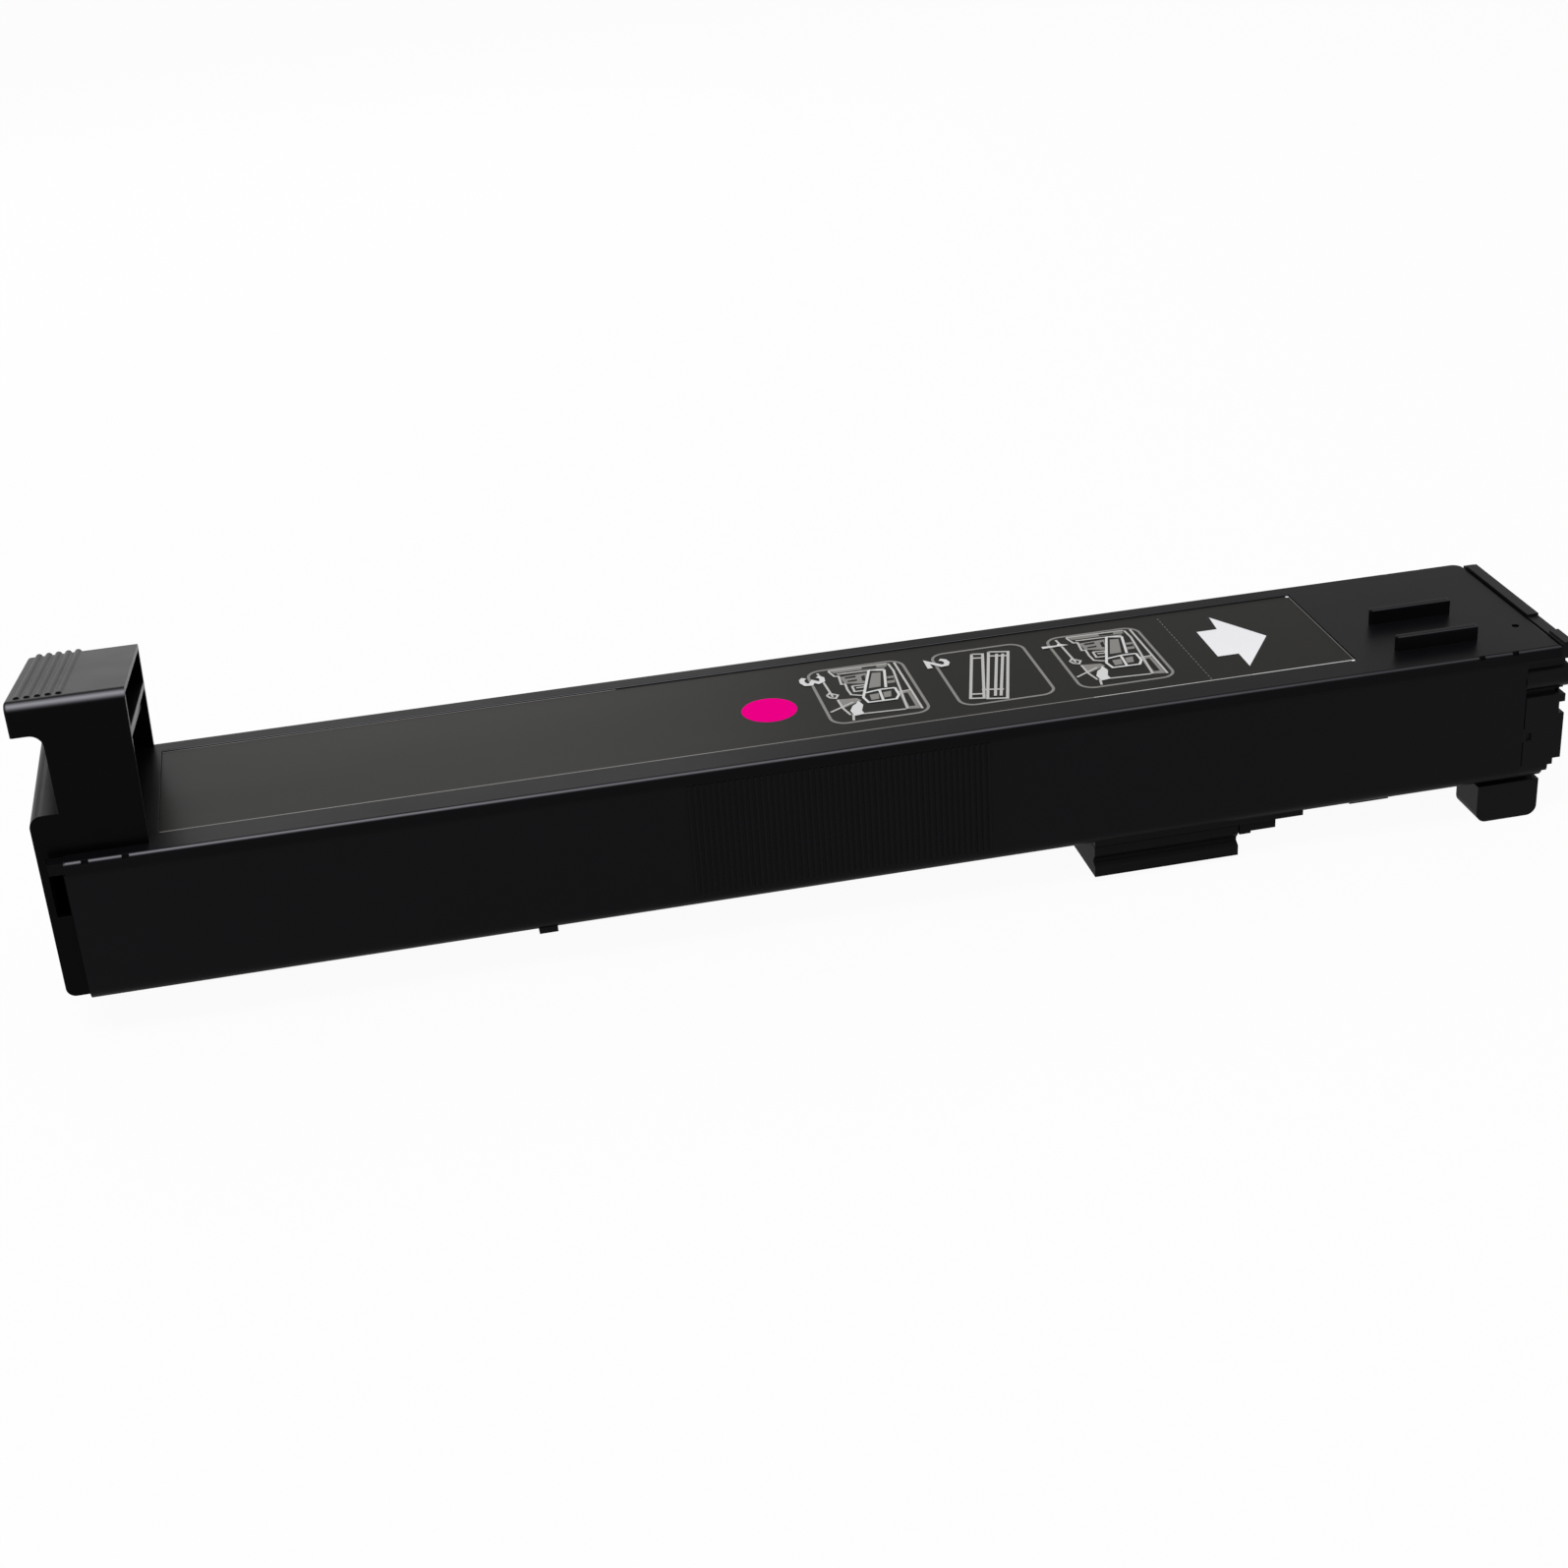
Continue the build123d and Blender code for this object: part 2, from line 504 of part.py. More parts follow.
export_step(rear_feet.part, "parts/rear_feet.step")

# Shutter track: two rails under the discharge pad and the stop behind the shutter
with BuildPart() as shutter_track:
    rail_x0 = SHUT_X0 - SHUT_TRAVEL - 3
    rail_x1 = SHUT_X1 + 1.5
    for side in (-1, 1):
        edge = AUG_Y + side * (PORT_W / 2 + 0.6)
        stem = sorted((edge, edge + side * 1.4))
        lip = sorted((edge + side * 1.3, edge + side * (1.4 + RAIL_LIP)))
        slab(rail_x0, rail_x1, stem[0], stem[1], -RAIL_DROP, -PAD_T)
        slab(rail_x0, rail_x1, lip[0], lip[1], -RAIL_DROP, -RAIL_DROP + RAIL_LIP)
    slab(rail_x1 - 0.8, SHUT_X1 + STOP_L, SHUT_Y0 + 0.8, SHUT_Y1 - 0.2, -4.4, -PAD_T)
    slab(rail_x1 - 0.8, rail_x1 + 3.2, SHUT_Y0 + 0.8, SHUT_Y0 + 7.4, -5.2, -4.3)
shutter_track.part.label = "shutter_track"
export_step(shutter_track.part, "parts/shutter_track.step")

# Shutter: slides along the rails towards the handle end
with BuildPart() as shutter:
    top_z = -PAD_T - SLIDE_GAP - RUN_FIT
    with BuildSketch(cross_plane(SHUT_X0)):
        with BuildLine():
            Polyline(
                (SHUT_Y0 + 0.4, top_z),
                (SHUT_Y0 + 0.4, -4.6),
                (SHUT_Y0 + 2.0, -6.6),
                (SHUT_Y0 + 2.0, -7.6),
                (SHUT_Y0, -8.8),
                (SHUT_Y0, -SHUT_DROP),
                (SHUT_Y1, -SHUT_DROP),
                (SHUT_Y1, top_z),
                close=True,
            )
        make_face()
    extrude(amount=SHUT_X1 - SHUT_X0)
    slot_y = PORT_W / 2 + 2.0 + SLIDE_GAP
    lip_y = slot_y + RAIL_LIP + 0.2
    slot_z = -RAIL_DROP - SLIDE_GAP
    lip_z = -RAIL_DROP + RAIL_LIP + SLIDE_GAP
    slab(SHUT_X0 - 1, SHUT_X1 + 1, AUG_Y - slot_y, AUG_Y + slot_y, slot_z, 0, Mode.SUBTRACT)
    slab(SHUT_X0 - 1, SHUT_X1 + 1, AUG_Y - lip_y, AUG_Y + lip_y, slot_z, lip_z, Mode.SUBTRACT)
shutter.part.label = "shutter"
export_step(shutter.part, "parts/shutter.step")

# Foam pad on the shutter that closes the discharge opening
with BuildPart() as shutter_seal:
    slab(PORT_X0 - 5, PORT_X1 + 5, PORT_Y0, PORT_Y1, -RAIL_DROP - SLIDE_GAP, -PAD_T - 0.2)
shutter_seal.part.label = "shutter_seal"
export_step(shutter_seal.part, "parts/shutter_seal.step")

# Agitator shaft: round ends with a flat bar between them
FILM_X0 = SEAM_FRONT + 16.4
FILM_X1 = SEAM_REAR - 16.0
FLAT_T = 3.0
FLAT_W = 8.0
with BuildPart() as agitator_shaft:
    rod(SEAM_FRONT - 3, FILM_X0 - 3, AGI_Y, AGI_Z, SHAFT_R)
    rod(FILM_X1 + 3, SHAFT_END, AGI_Y, AGI_Z, SHAFT_R)
    y0 = AGI_Y - FLAT_W / 2
    slab(FILM_X0 - 4, FILM_X1 + 4, y0, y0 + FLAT_W, AGI_Z - FLAT_T / 2, AGI_Z + FLAT_T / 2)
agitator_shaft.part.label = "agitator_shaft"
export_step(agitator_shaft.part, "parts/agitator_shaft.step")

# Stirring film, a thin sheet held on the flat of the shaft, slit into paddles
FILM_T = 0.25
PADDLES = 8
paddle_l = (FILM_X1 - FILM_X0) / PADDLES
film_z = AGI_Z + FLAT_T / 2
with BuildPart() as agitator_film:
    slab(FILM_X0, FILM_X1, AGI_Y - FLAT_W / 2 + 0.4, AGI_Y + AGI_R, film_z, film_z + FILM_T)
    for i in range(1, PADDLES):
        x = FILM_X0 + paddle_l * i
        slab(x - 1, x + 1, AGI_Y + FLAT_W, AGI_Y + AGI_R + 1, AGI_Z, film_z + 1, Mode.SUBTRACT)
agitator_film.part.label = "agitator_film"
export_step(agitator_film.part, "parts/agitator_film.step")

# Clamping strip that holds the film
CLAMP_T = 1.0
with BuildPart() as film_clamp:
    z0 = film_z + FILM_T
    y0 = AGI_Y - FLAT_W / 2 + 0.8
    slab(FILM_X0 + 2, FILM_X1 - 2, y0, y0 + FLAT_W - 1.6, z0, z0 + CLAMP_T)
    for i in range(PADDLES):
        x = FILM_X0 + paddle_l * (i + 0.5)
        with Locations(at(x, AGI_Y, z0 + CLAMP_T + 0.3)):
            Cylinder(1.4, 0.7)
film_clamp.part.label = "film_clamp"
export_step(film_clamp.part, "parts/film_clamp.step")

# Auger: slanted vanes on a round shaft, turned the other way behind the opening
VANE_X0 = SEAM_FRONT + 14.4
VANE_PITCH = 26.0
VANE_TILT = 32
SEAL_X0 = SEAM_REAR - WALL - 2.6
vane_count = int((SEAL_X0 - 8 - VANE_X0) / VANE_PITCH) + 1
with BuildPart() as auger:
    rod(SEAM_FRONT - 2.6, GEAR_X0 + GEAR_T, AUG_Y, AUG_Z, AUG_SHAFT_R)
    for i in range(vane_count):
        x = VANE_X0 + VANE_PITCH * i
        tilt = VANE_TILT if x < PORT_X1 - 4 else -VANE_TILT
        with Locations(at(x, AUG_Y, AUG_Z) * Rotation(0, 90 - tilt, 0)):
            Cylinder(AUG_R, 1.0)
auger.part.label = "auger"
export_step(auger.part, "parts/auger.step")

# Wheels of the gear case
with BuildPart() as agitator_gear:
    wheel(GEAR_X0, GEAR_T, AGI_Y, AGI_Z, TEETH_AGI, phase_agi, SHAFT_R + PRESS_FIT)
agitator_gear.part.label = "agitator_gear"
export_step(agitator_gear.part, "parts/agitator_gear.step")

with BuildPart() as idler_gear:
    wheel(GEAR_X0, GEAR_T, IDLER_Y, IDLER_Z, TEETH_SMALL, phase_idler, PIN_R + RUN_FIT)
idler_gear.part.label = "idler_gear"
export_step(idler_gear.part, "parts/idler_gear.step")

with BuildPart() as auger_gear:
    wheel(GEAR_X0, GEAR_T, AUG_Y, AUG_Z, TEETH_SMALL, phase_auger, AUG_SHAFT_R + PRESS_FIT)
auger_gear.part.label = "auger_gear"
export_step(auger_gear.part, "parts/auger_gear.step")

# Drive coupling with the three-cornered socket for the machine's drive dog
with BuildPart() as drive_coupling:
    disc_x = COUPLING_END - SOCKET_DEPTH - 1.8
    rod(GEAR_X0 + GEAR_T, disc_x + 1, AGI_Y, AGI_Z, BUSH_R)
    rod(disc_x, COUPLING_END, AGI_Y, AGI_Z, COUPLING_R)
    rod(GEAR_X0, SHAFT_END, AGI_Y, AGI_Z, SHAFT_R + PRESS_FIT, Mode.SUBTRACT)
    with BuildSketch(cross_plane(COUPLING_END - SOCKET_DEPTH)):
        with Locations((AGI_Y, AGI_Z)):
            RegularPolygon(COUPLING_R - 1.8, 3)
        fillet(vertices(), 1.6)
    extrude(amount=SOCKET_DEPTH + 1, mode=Mode.SUBTRACT)
drive_coupling.part.label = "drive_coupling"
export_step(drive_coupling.part, "parts/drive_coupling.step")

# Bushes in the end walls, one pair for each shaft
BUSH_L = 4.0
bush_starts = (SEAM_FRONT - 1.2, SEAM_REAR + 1.2 - BUSH_L)
with BuildPart() as agitator_bushes:
    for x in bush_starts:
        ring(x, x + BUSH_L, AGI_Y, AGI_Z, BUSH_R - PRESS_FIT, SHAFT_R + RUN_FIT)
agitator_bushes.part.label = "agitator_bushes"
export_step(agitator_bushes.part, "parts/agitator_bushes.step")

with BuildPart() as auger_bushes:
    for x in bush_starts:
        ring(x, x + BUSH_L, AUG_Y, AUG_Z, AUG_BUSH_R - PRESS_FIT, AUG_SHAFT_R + RUN_FIT)
auger_bushes.part.label = "auger_bushes"
export_step(auger_bushes.part, "parts/auger_bushes.step")

# Shaft seals inside the rear wall
with BuildPart() as shaft_seals:
    x0 = bush_starts[1] - 1.6
    ring(x0, bush_starts[1], AGI_Y, AGI_Z, BUSH_R - 0.4, SHAFT_R + RUN_FIT)
    ring(x0, bush_starts[1], AUG_Y, AUG_Z, AUG_BUSH_R - 0.3, AUG_SHAFT_R + RUN_FIT)
shaft_seals.part.label = "shaft_seals"
export_step(shaft_seals.part, "parts/shaft_seals.step")

# Plug of the filling hole, behind the front cap
with BuildPart() as fill_plug:
    rod(SEAM_FRONT - 1.4, SEAM_FRONT, PLUG_Y, PLUG_Z, PLUG_R + 2.4)
    rod(SEAM_FRONT, SEAM_FRONT + 4.4, PLUG_Y, PLUG_Z, PLUG_R - PRESS_FIT)
    rod(SEAM_FRONT + 1, SEAM_FRONT + 5, PLUG_Y, PLUG_Z, PLUG_R - WALL, Mode.SUBTRACT)
fill_plug.part.label = "fill_plug"
export_step(fill_plug.part, "parts/fill_plug.step")

# Memory board on the far side, in its holder
HOLDER_WALL = 3.0
BOARD_T = 0.7
BOARD_GAP = 0.2
board_y = chip_y + 0.5
pocket_l = CHIP_L - 2 * HOLDER_WALL
pocket_h = CHIP_H - 1.6 * HOLDER_WALL
with BuildPart() as chip_holder:
    slab(chip_x0, chip_x1, chip_y, WIDTH, CHIP_Z - CHIP_H / 2, CHIP_Z + CHIP_H / 2)
    x0 = CHIP_X - pocket_l / 2
    z0 = CHIP_Z - pocket_h / 2
    slab(x0, x0 + pocket_l, board_y, WIDTH + 1, z0, z0 + pocket_h, Mode.SUBTRACT)
chip_holder.part.label = "chip_holder"
export_step(chip_holder.part, "parts/chip_holder.step")

with BuildPart() as chip_board:
    x0 = CHIP_X - pocket_l / 2 + BOARD_GAP
    z0 = CHIP_Z - pocket_h / 2 + BOARD_GAP
    x1 = x0 + pocket_l - 2 * BOARD_GAP
    slab(x0, x1, board_y, board_y + BOARD_T, z0, z0 + pocket_h - 2 * BOARD_GAP)
chip_board.part.label = "chip_board"
export_step(chip_board.part, "parts/chip_board.step")

CONTACTS = 4
with BuildPart() as chip_contacts:
    y0 = board_y + BOARD_T
    pitch = (pocket_l - 2.8) / CONTACTS
    for i in range(CONTACTS):
        x = CHIP_X + pitch * (i - (CONTACTS - 1) / 2)
        slab(x - 1.7, x + 1.7, y0, y0 + 0.1, CHIP_Z - 3.2, CHIP_Z + 3.2)
chip_contacts.part.label = "chip_contacts"
export_step(chip_contacts.part, "parts/chip_contacts.step")

# Screws of both caps, with crossed slots
HEAD_T = 1.6
SLOT_L = 4.0
SLOT_W = 0.7
with BuildPart() as screws:
    rear_seat = CAP_END - 1.0
    front_seat = CAP_WALL - 0.3
    for y, z in screw_rear:
        rod(GEAR_X0, rear_seat, y, z, SCREW_R)
        rod(rear_seat, rear_seat + HEAD_T, y, z, SCREW_HEAD_R)
        for dy, dz in ((SLOT_L / 2, SLOT_W / 2), (SLOT_W / 2, SLOT_L / 2)):
            slab(rear_seat + 1, LENGTH + 1, y - dy, y + dy, z - dz, z + dz, Mode.SUBTRACT)
    for y, z in screw_front:
        rod(front_seat, SEAM_FRONT + 0.4, y, z, SCREW_R)
        rod(front_seat - HEAD_T + 0.1, front_seat, y, z, SCREW_HEAD_R)
        for dy, dz in ((SLOT_L / 2, SLOT_W / 2), (SLOT_W / 2, SLOT_L / 2)):
            slab(-1, front_seat - 0.9, y - dy, y + dy, z - dz, z + dz, Mode.SUBTRACT)
screws.part.label = "screws"
export_step(screws.part, "parts/screws.step")
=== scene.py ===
from math import cos, pi, radians, sin

import bmesh
import bpy
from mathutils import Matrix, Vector


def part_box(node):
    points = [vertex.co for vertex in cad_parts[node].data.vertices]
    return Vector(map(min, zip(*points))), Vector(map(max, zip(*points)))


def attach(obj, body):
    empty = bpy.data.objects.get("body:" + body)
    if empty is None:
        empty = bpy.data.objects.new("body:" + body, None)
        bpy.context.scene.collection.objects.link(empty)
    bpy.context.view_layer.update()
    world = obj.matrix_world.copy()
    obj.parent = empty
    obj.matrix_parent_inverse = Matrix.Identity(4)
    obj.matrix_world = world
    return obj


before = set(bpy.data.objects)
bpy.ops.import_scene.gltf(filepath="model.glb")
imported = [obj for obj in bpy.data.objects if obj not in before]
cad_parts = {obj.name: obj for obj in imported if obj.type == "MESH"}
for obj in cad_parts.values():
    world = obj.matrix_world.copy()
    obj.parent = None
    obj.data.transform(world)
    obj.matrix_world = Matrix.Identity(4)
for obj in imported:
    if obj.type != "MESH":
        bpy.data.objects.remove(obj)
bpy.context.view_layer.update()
MM = 0.001
CASING = "casing"
WHITE = (1, 1, 1, 1)

# Camera, at the photograph's viewing angle: metres, degrees, mm
CAMERA_AT = (-0.14217, -0.73112, 0.40677)
CAMERA_TURN = (62.6225, 2.996, -12.6537)
CAMERA_LENS = 56.83
CAMERA_SHIFT = (-0.0298, 0.0185)
CAMERA_NEAR = 0.01
CAMERA_FAR = 50.0

# Lights in the surrounding's even glow: name, place, aim, size in metres, watts.
# The top box shines on the handle and the near rim; the back box makes the label
# paler towards the handle
AMBIENT = 0.55
LIGHTS = (
    ("top_box", (-0.42, -0.62, 1.57), (-0.1, 0, 0.05), (0.55, 0.5), 11.0),
    ("back_box", (-0.27, 1.3, 0.75), (-0.12, 0, 0.05), (1.0, 0.7), 4.6),
)

# Floor
FLOOR_SIZE = 12.0
FLOOR_DROP = 0.0002
FLOOR_PAINT = 0.8
FLOOR_GLOW = 0.95

# Patterns of the materials: noise scale a metre, detail, roughness and stretch
CLOUD = (22.0, 4.0, 0.6)
GRAIN = (2600.0, 3.0, 0.6)
SPECKS = (160.0, 3.0, 0.7)
RIPPLE = (14.0, 3.0, 0.5, (0.4, 1.6, 1))
DUST = (900.0, 2.0, 0.5)
DUST_ABOVE = 0.74
DUST_SHARE = 0.35
PLATING = (300.0, 4.0, 0.6)
BRUSHING = (3000.0, 2.0, 0.5, (1, 0.1, 1))
EDGE_SAMPLES = 4

# Painted highlight: rounded edges between the near side and the top are painted paler by the
# face's direction, most at the handle's end
PAINTED_HIGHLIGHT_RGB = (140, 140, 147)
PAINTED_HIGHLIGHT_X = (-0.2, 0.2)
PAINTED_HIGHLIGHT_FAR_SHARE = 0.25
PAINTED_HIGHLIGHT_SHARPNESS = 5.0


def make_camera():
    """The camera of the main picture."""
    data = bpy.data.cameras.new("camera")
    data.lens = CAMERA_LENS
    data.shift_x, data.shift_y = CAMERA_SHIFT
    data.clip_start = CAMERA_NEAR
    data.clip_end = CAMERA_FAR
    camera = bpy.data.objects.new("camera", data)
    camera.location = CAMERA_AT
    camera.rotation_euler = [radians(a) for a in CAMERA_TURN]
    bpy.context.scene.collection.objects.link(camera)
    bpy.context.scene.camera = camera


class Tree:
    """A node tree with short calls to add nodes and links."""

    def __init__(self, tree):
        self.tree = tree
        self.tree.nodes.clear()

    def add(self, kind, **settings):
        node = self.tree.nodes.new(kind)
        for key, value in settings.items():
            setattr(node, key, value)
        return node

    def link(self, source, target):
        self.tree.links.new(source, target)

    def math(self, operation, a, b, clamp=False):
        """A Math node; a and b are sockets or numbers."""
        node = self.add("ShaderNodeMath", operation=operation, use_clamp=clamp)
        for socket, value in zip(node.inputs, (a, b)):
            if isinstance(value, (int, float)):
                socket.default_value = value
            else:
                self.link(value, socket)
        return node.outputs[0]

    def spread(self, value, low, high, start=0.0, end=1.0):
        """Maps start to end onto low to high."""
        node = self.add("ShaderNodeMapRange")
        self.link(value, node.inputs["Value"])
        node.inputs["From Min"].default_value = start
        node.inputs["From Max"].default_value = end
        node.inputs["To Min"].default_value = low
        node.inputs["To Max"].default_value = high
        return node.outputs["Result"]

    def noise(self, scale, detail, roughness, stretch=(1, 1, 1)):
        """Noise in the object's own coordinates, in metres."""
        place = self.add("ShaderNodeTexCoord")
        mapping = self.add("ShaderNodeMapping")
        mapping.inputs["Scale"].default_value = stretch
        noise = self.add("ShaderNodeTexNoise")
        noise.inputs["Scale"].default_value = scale
        noise.inputs["Detail"].default_value = detail
        noise.inputs["Roughness"].default_value = roughness
        self.link(place.outputs["Object"], mapping.inputs["Vector"])
        self.link(mapping.outputs["Vector"], noise.inputs["Vector"])
        return noise.outputs["Fac"]

    def parts(self, vector):
        """The X, Y and Z sockets of a vector socket."""
        node = self.add("ShaderNodeSeparateXYZ")
        self.link(vector, node.inputs[0])
        return node.outputs

    def colour_mix(self, factor, a, b):
        """A colour between a and b; each is a colour or a socket."""
        node = self.add("ShaderNodeMix", data_type="RGBA")
        self.link(factor, node.inputs["Factor"])
        for name, value in (("A", a), ("B", b)):
            sockets = [s for s in node.inputs if s.name == name and s.type == "RGBA"]
            if isinstance(value, (tuple, list)):
                sockets[0].default_value = (*value[:3], 1.0)
            else:
                self.link(value, sockets[0])
        return [s for s in node.outputs if s.type == "RGBA"][0]

    def shader_mix(self, factor, a, b):
        """A shader between a and b."""
        node = self.add("ShaderNodeMixShader")
        self.link(factor, node.inputs["Fac"])
        self.link(a.outputs[0], node.inputs[1])
        self.link(b.outputs[0], node.inputs[2])
        return node.outputs[0]

    def seen_rays(self):
        """1 for the rays that look at the surroundings: camera, glossy, transmission."""
        path = self.add("ShaderNodeLightPath")
        camera, glossy = path.outputs["Is Camera Ray"], path.outputs["Is Glossy Ray"]
        first = self.math("MAXIMUM", camera, glossy)
        return self.math("MAXIMUM", first, path.outputs["Is Transmission Ray"])


def rgb(*screen):
    """A screen colour, from 0 to 255, as a linear one."""
    linear = []
    for value in screen:
        v = value / 255
        linear.append(v / 12.92 if v <= 0.04045 else ((v + 0.055) / 1.055) ** 2.4)
    return tuple(linear)


def make_world():
    """Even, soft light, with a white surrounding for the rays that look at it."""
    world = bpy.data.worlds.new("studio")
    bpy.context.scene.world = world
    world.use_nodes = True
    tree = Tree(world.node_tree)
    glows = []
    for strength in (AMBIENT, 1.0):
        glow = tree.add("ShaderNodeBackground")
        glow.inputs["Color"].default_value = WHITE
        glow.inputs["Strength"].default_value = strength
        glows.append(glow)
    out = tree.add("ShaderNodeOutputWorld")
    tree.link(tree.shader_mix(tree.seen_rays(), *glows), out.inputs["Surface"])


def make_lights():
    """Two rectangular soft boxes."""
    for name, at, aim, size, power in LIGHTS:
        data = bpy.data.lights.new(name, "AREA")
        data.shape = "RECTANGLE"
        data.size, data.size_y = size
        data.energy = power
        light = bpy.data.objects.new(name, data)
        light.location = at
        turn = (Vector(aim) - Vector(at)).to_track_quat("-Z", "Y")
        light.rotation_euler = turn.to_euler()
        bpy.context.scene.collection.objects.link(light)


def make_floor():
    """A pale floor, white to the eye, that keeps the object's shadow."""
    bpy.ops.mesh.primitive_plane_add(size=FLOOR_SIZE, location=(0, 0, -FLOOR_DROP))
    floor = bpy.context.object
    floor.name = "floor"
    material = bpy.data.materials.new("floor")
    material.use_nodes = True
    tree = Tree(material.node_tree)
    paint = tree.add("ShaderNodeBsdfDiffuse")
    paint.inputs["Color"].default_value = (FLOOR_PAINT, FLOOR_PAINT, FLOOR_PAINT, 1)
    glow = tree.add("ShaderNodeEmission")
    glow.inputs["Strength"].default_value = 1.0
    share = tree.math("MULTIPLY", tree.seen_rays(), FLOOR_GLOW)
    out = tree.add("ShaderNodeOutputMaterial")
    tree.link(tree.shader_mix(share, paint, glow), out.inputs["Surface"])
    floor.data.materials.append(material)


def surface(name):
    """A new material, its tree and its one shader."""
    material = bpy.data.materials.new(name)
    material.use_nodes = True
    tree = Tree(material.node_tree)
    shader = tree.add("ShaderNodeBsdfPrincipled")
    out = tree.add("ShaderNodeOutputMaterial")
    tree.link(shader.outputs[0], out.inputs["Surface"])
    return material, tree, shader


def bumped(tree, shader, height, strength, distance, normal=None):
    """Raises the surface by a pattern, on a normal of its own where one is given."""
    bump = tree.add("ShaderNodeBump")
    bump.inputs["Strength"].default_value = strength
    bump.inputs["Distance"].default_value = distance * MM
    tree.link(height, bump.inputs["Height"])
    if normal:
        tree.link(normal, bump.inputs["Normal"])
    tree.link(bump.outputs["Normal"], shader.inputs["Normal"])


def painted_edge_highlight(tree, strength):
    """Mask of the painted highlight: 1 on edges rounded between the near side and the top,
    fading away from the grip.
    """
    plain = tree.add("ShaderNodeNewGeometry")
    normal = tree.parts(plain.outputs["Normal"])
    slope = tree.math("MULTIPLY", normal["Y"], normal["Z"])
    facing = tree.math("MULTIPLY", slope, -2.0, clamp=True)
    band = tree.math("POWER", facing, PAINTED_HIGHLIGHT_SHARPNESS)
    place = tree.parts(tree.add("ShaderNodeTexCoord").outputs["Object"])
    fade = tree.spread(place["X"], strength, PAINTED_HIGHLIGHT_FAR_SHARE * strength, *PAINTED_HIGHLIGHT_X)
    return tree.math("MULTIPLY", band, fade)


def plastic(name, colour, roughness, specular, grain, edge=0.35, scuff_and_sheen=0.5, edge_highlight=0.0):
    """Moulded plastic: fine grain, uneven gloss, softened edges, and a little paling on them
    that is partly wear and partly a painted highlight. The last argument sets the strength of
    a painted highlight on the long rounded edges near the grip."""
    material, tree, shader = surface(name)
    shader.inputs["Specular IOR Level"].default_value = specular
    cloud = tree.noise(*CLOUD)
    soft = tree.add("ShaderNodeBevel", samples=EDGE_SAMPLES)
    soft.inputs["Radius"].default_value = edge * MM
    plain = tree.add("ShaderNodeNewGeometry")
    dot = tree.add("ShaderNodeVectorMath", operation="DOT_PRODUCT")
    tree.link(soft.outputs["Normal"], dot.inputs[0])
    tree.link(plain.outputs["Normal"], dot.inputs[1])
    turned = tree.math("SUBTRACT", 1.0, dot.outputs["Value"], clamp=True)
    # Paler speckled edges: partly wear, and partly a painted highlight of the edges'
    # reflections where the amount is raised
    edge_speckle = tree.math("MULTIPLY", turned, tree.noise(*SPECKS))
    scuff_and_sheen_mask = tree.math("MULTIPLY", edge_speckle, scuff_and_sheen, clamp=True)
    pale = tuple(min(1.0, c * 3 + 0.02) for c in colour)
    mottled = tuple(c * 1.35 for c in colour)
    base = tree.colour_mix(cloud, colour, mottled)
    # Painted highlight: a pale colour on the rounded edges between the near side and the top,
    # fading along the length
    if edge_highlight:
        base = tree.colour_mix(painted_edge_highlight(tree, edge_highlight), base, rgb(*PAINTED_HIGHLIGHT_RGB))
    gloss = tree.spread(cloud, roughness - 0.07, roughness + 0.09)
    tree.link(tree.colour_mix(scuff_and_sheen_mask, base, pale), shader.inputs["Base Color"])
    tree.link(gloss, shader.inputs["Roughness"])
    bumped(tree, shader, tree.noise(*GRAIN), grain, 0.1, soft.outputs["Normal"])
    return material


def film(name, colour, roughness, specular):
    """Laminated paper or print: smooth satin, faint ripples and dust."""
    material, tree, shader = surface(name)
    shader.inputs["Specular IOR Level"].default_value = specular
    ripple = tree.noise(*RIPPLE)
    flecks = tree.math("GREATER_THAN", tree.noise(*DUST), DUST_ABOVE)
    dust = tree.math("MULTIPLY", flecks, DUST_SHARE)
    lighter = tuple(min(1.0, c * 1.5 + 0.02) for c in colour)
    shade = tuple(c * 0.88 for c in colour)
    base = tree.colour_mix(ripple, shade, colour)
    gloss = tree.spread(ripple, roughness - 0.05, roughness + 0.07)
    tree.link(tree.colour_mix(dust, base, lighter), shader.inputs["Base Color"])
    tree.link(gloss, shader.inputs["Roughness"])
    bumped(tree, shader, ripple, 0.12, 0.3)
    return material


def metal(name, colour, roughness):
    """Plated metal with fine brushing and uneven gloss."""
    material, tree, shader = surface(name)
    shader.inputs["Metallic"].default_value = 1.0
    cloud = tree.noise(*PLATING)
    dull = tuple(c * 0.8 for c in colour)
    gloss = tree.spread(cloud, roughness - 0.08, roughness + 0.12)
    tree.link(tree.colour_mix(cloud, dull, colour), shader.inputs["Base Color"])
    tree.link(gloss, shader.inputs["Roughness"])
    bumped(tree, shader, tree.noise(*BRUSHING), 0.1, 0.05)
    return material


def dress(material, *nodes):
    """Gives CAD nodes their material."""
    for node in nodes:
        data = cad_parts[node].data
        data.materials.clear()
        data.materials.append(material)


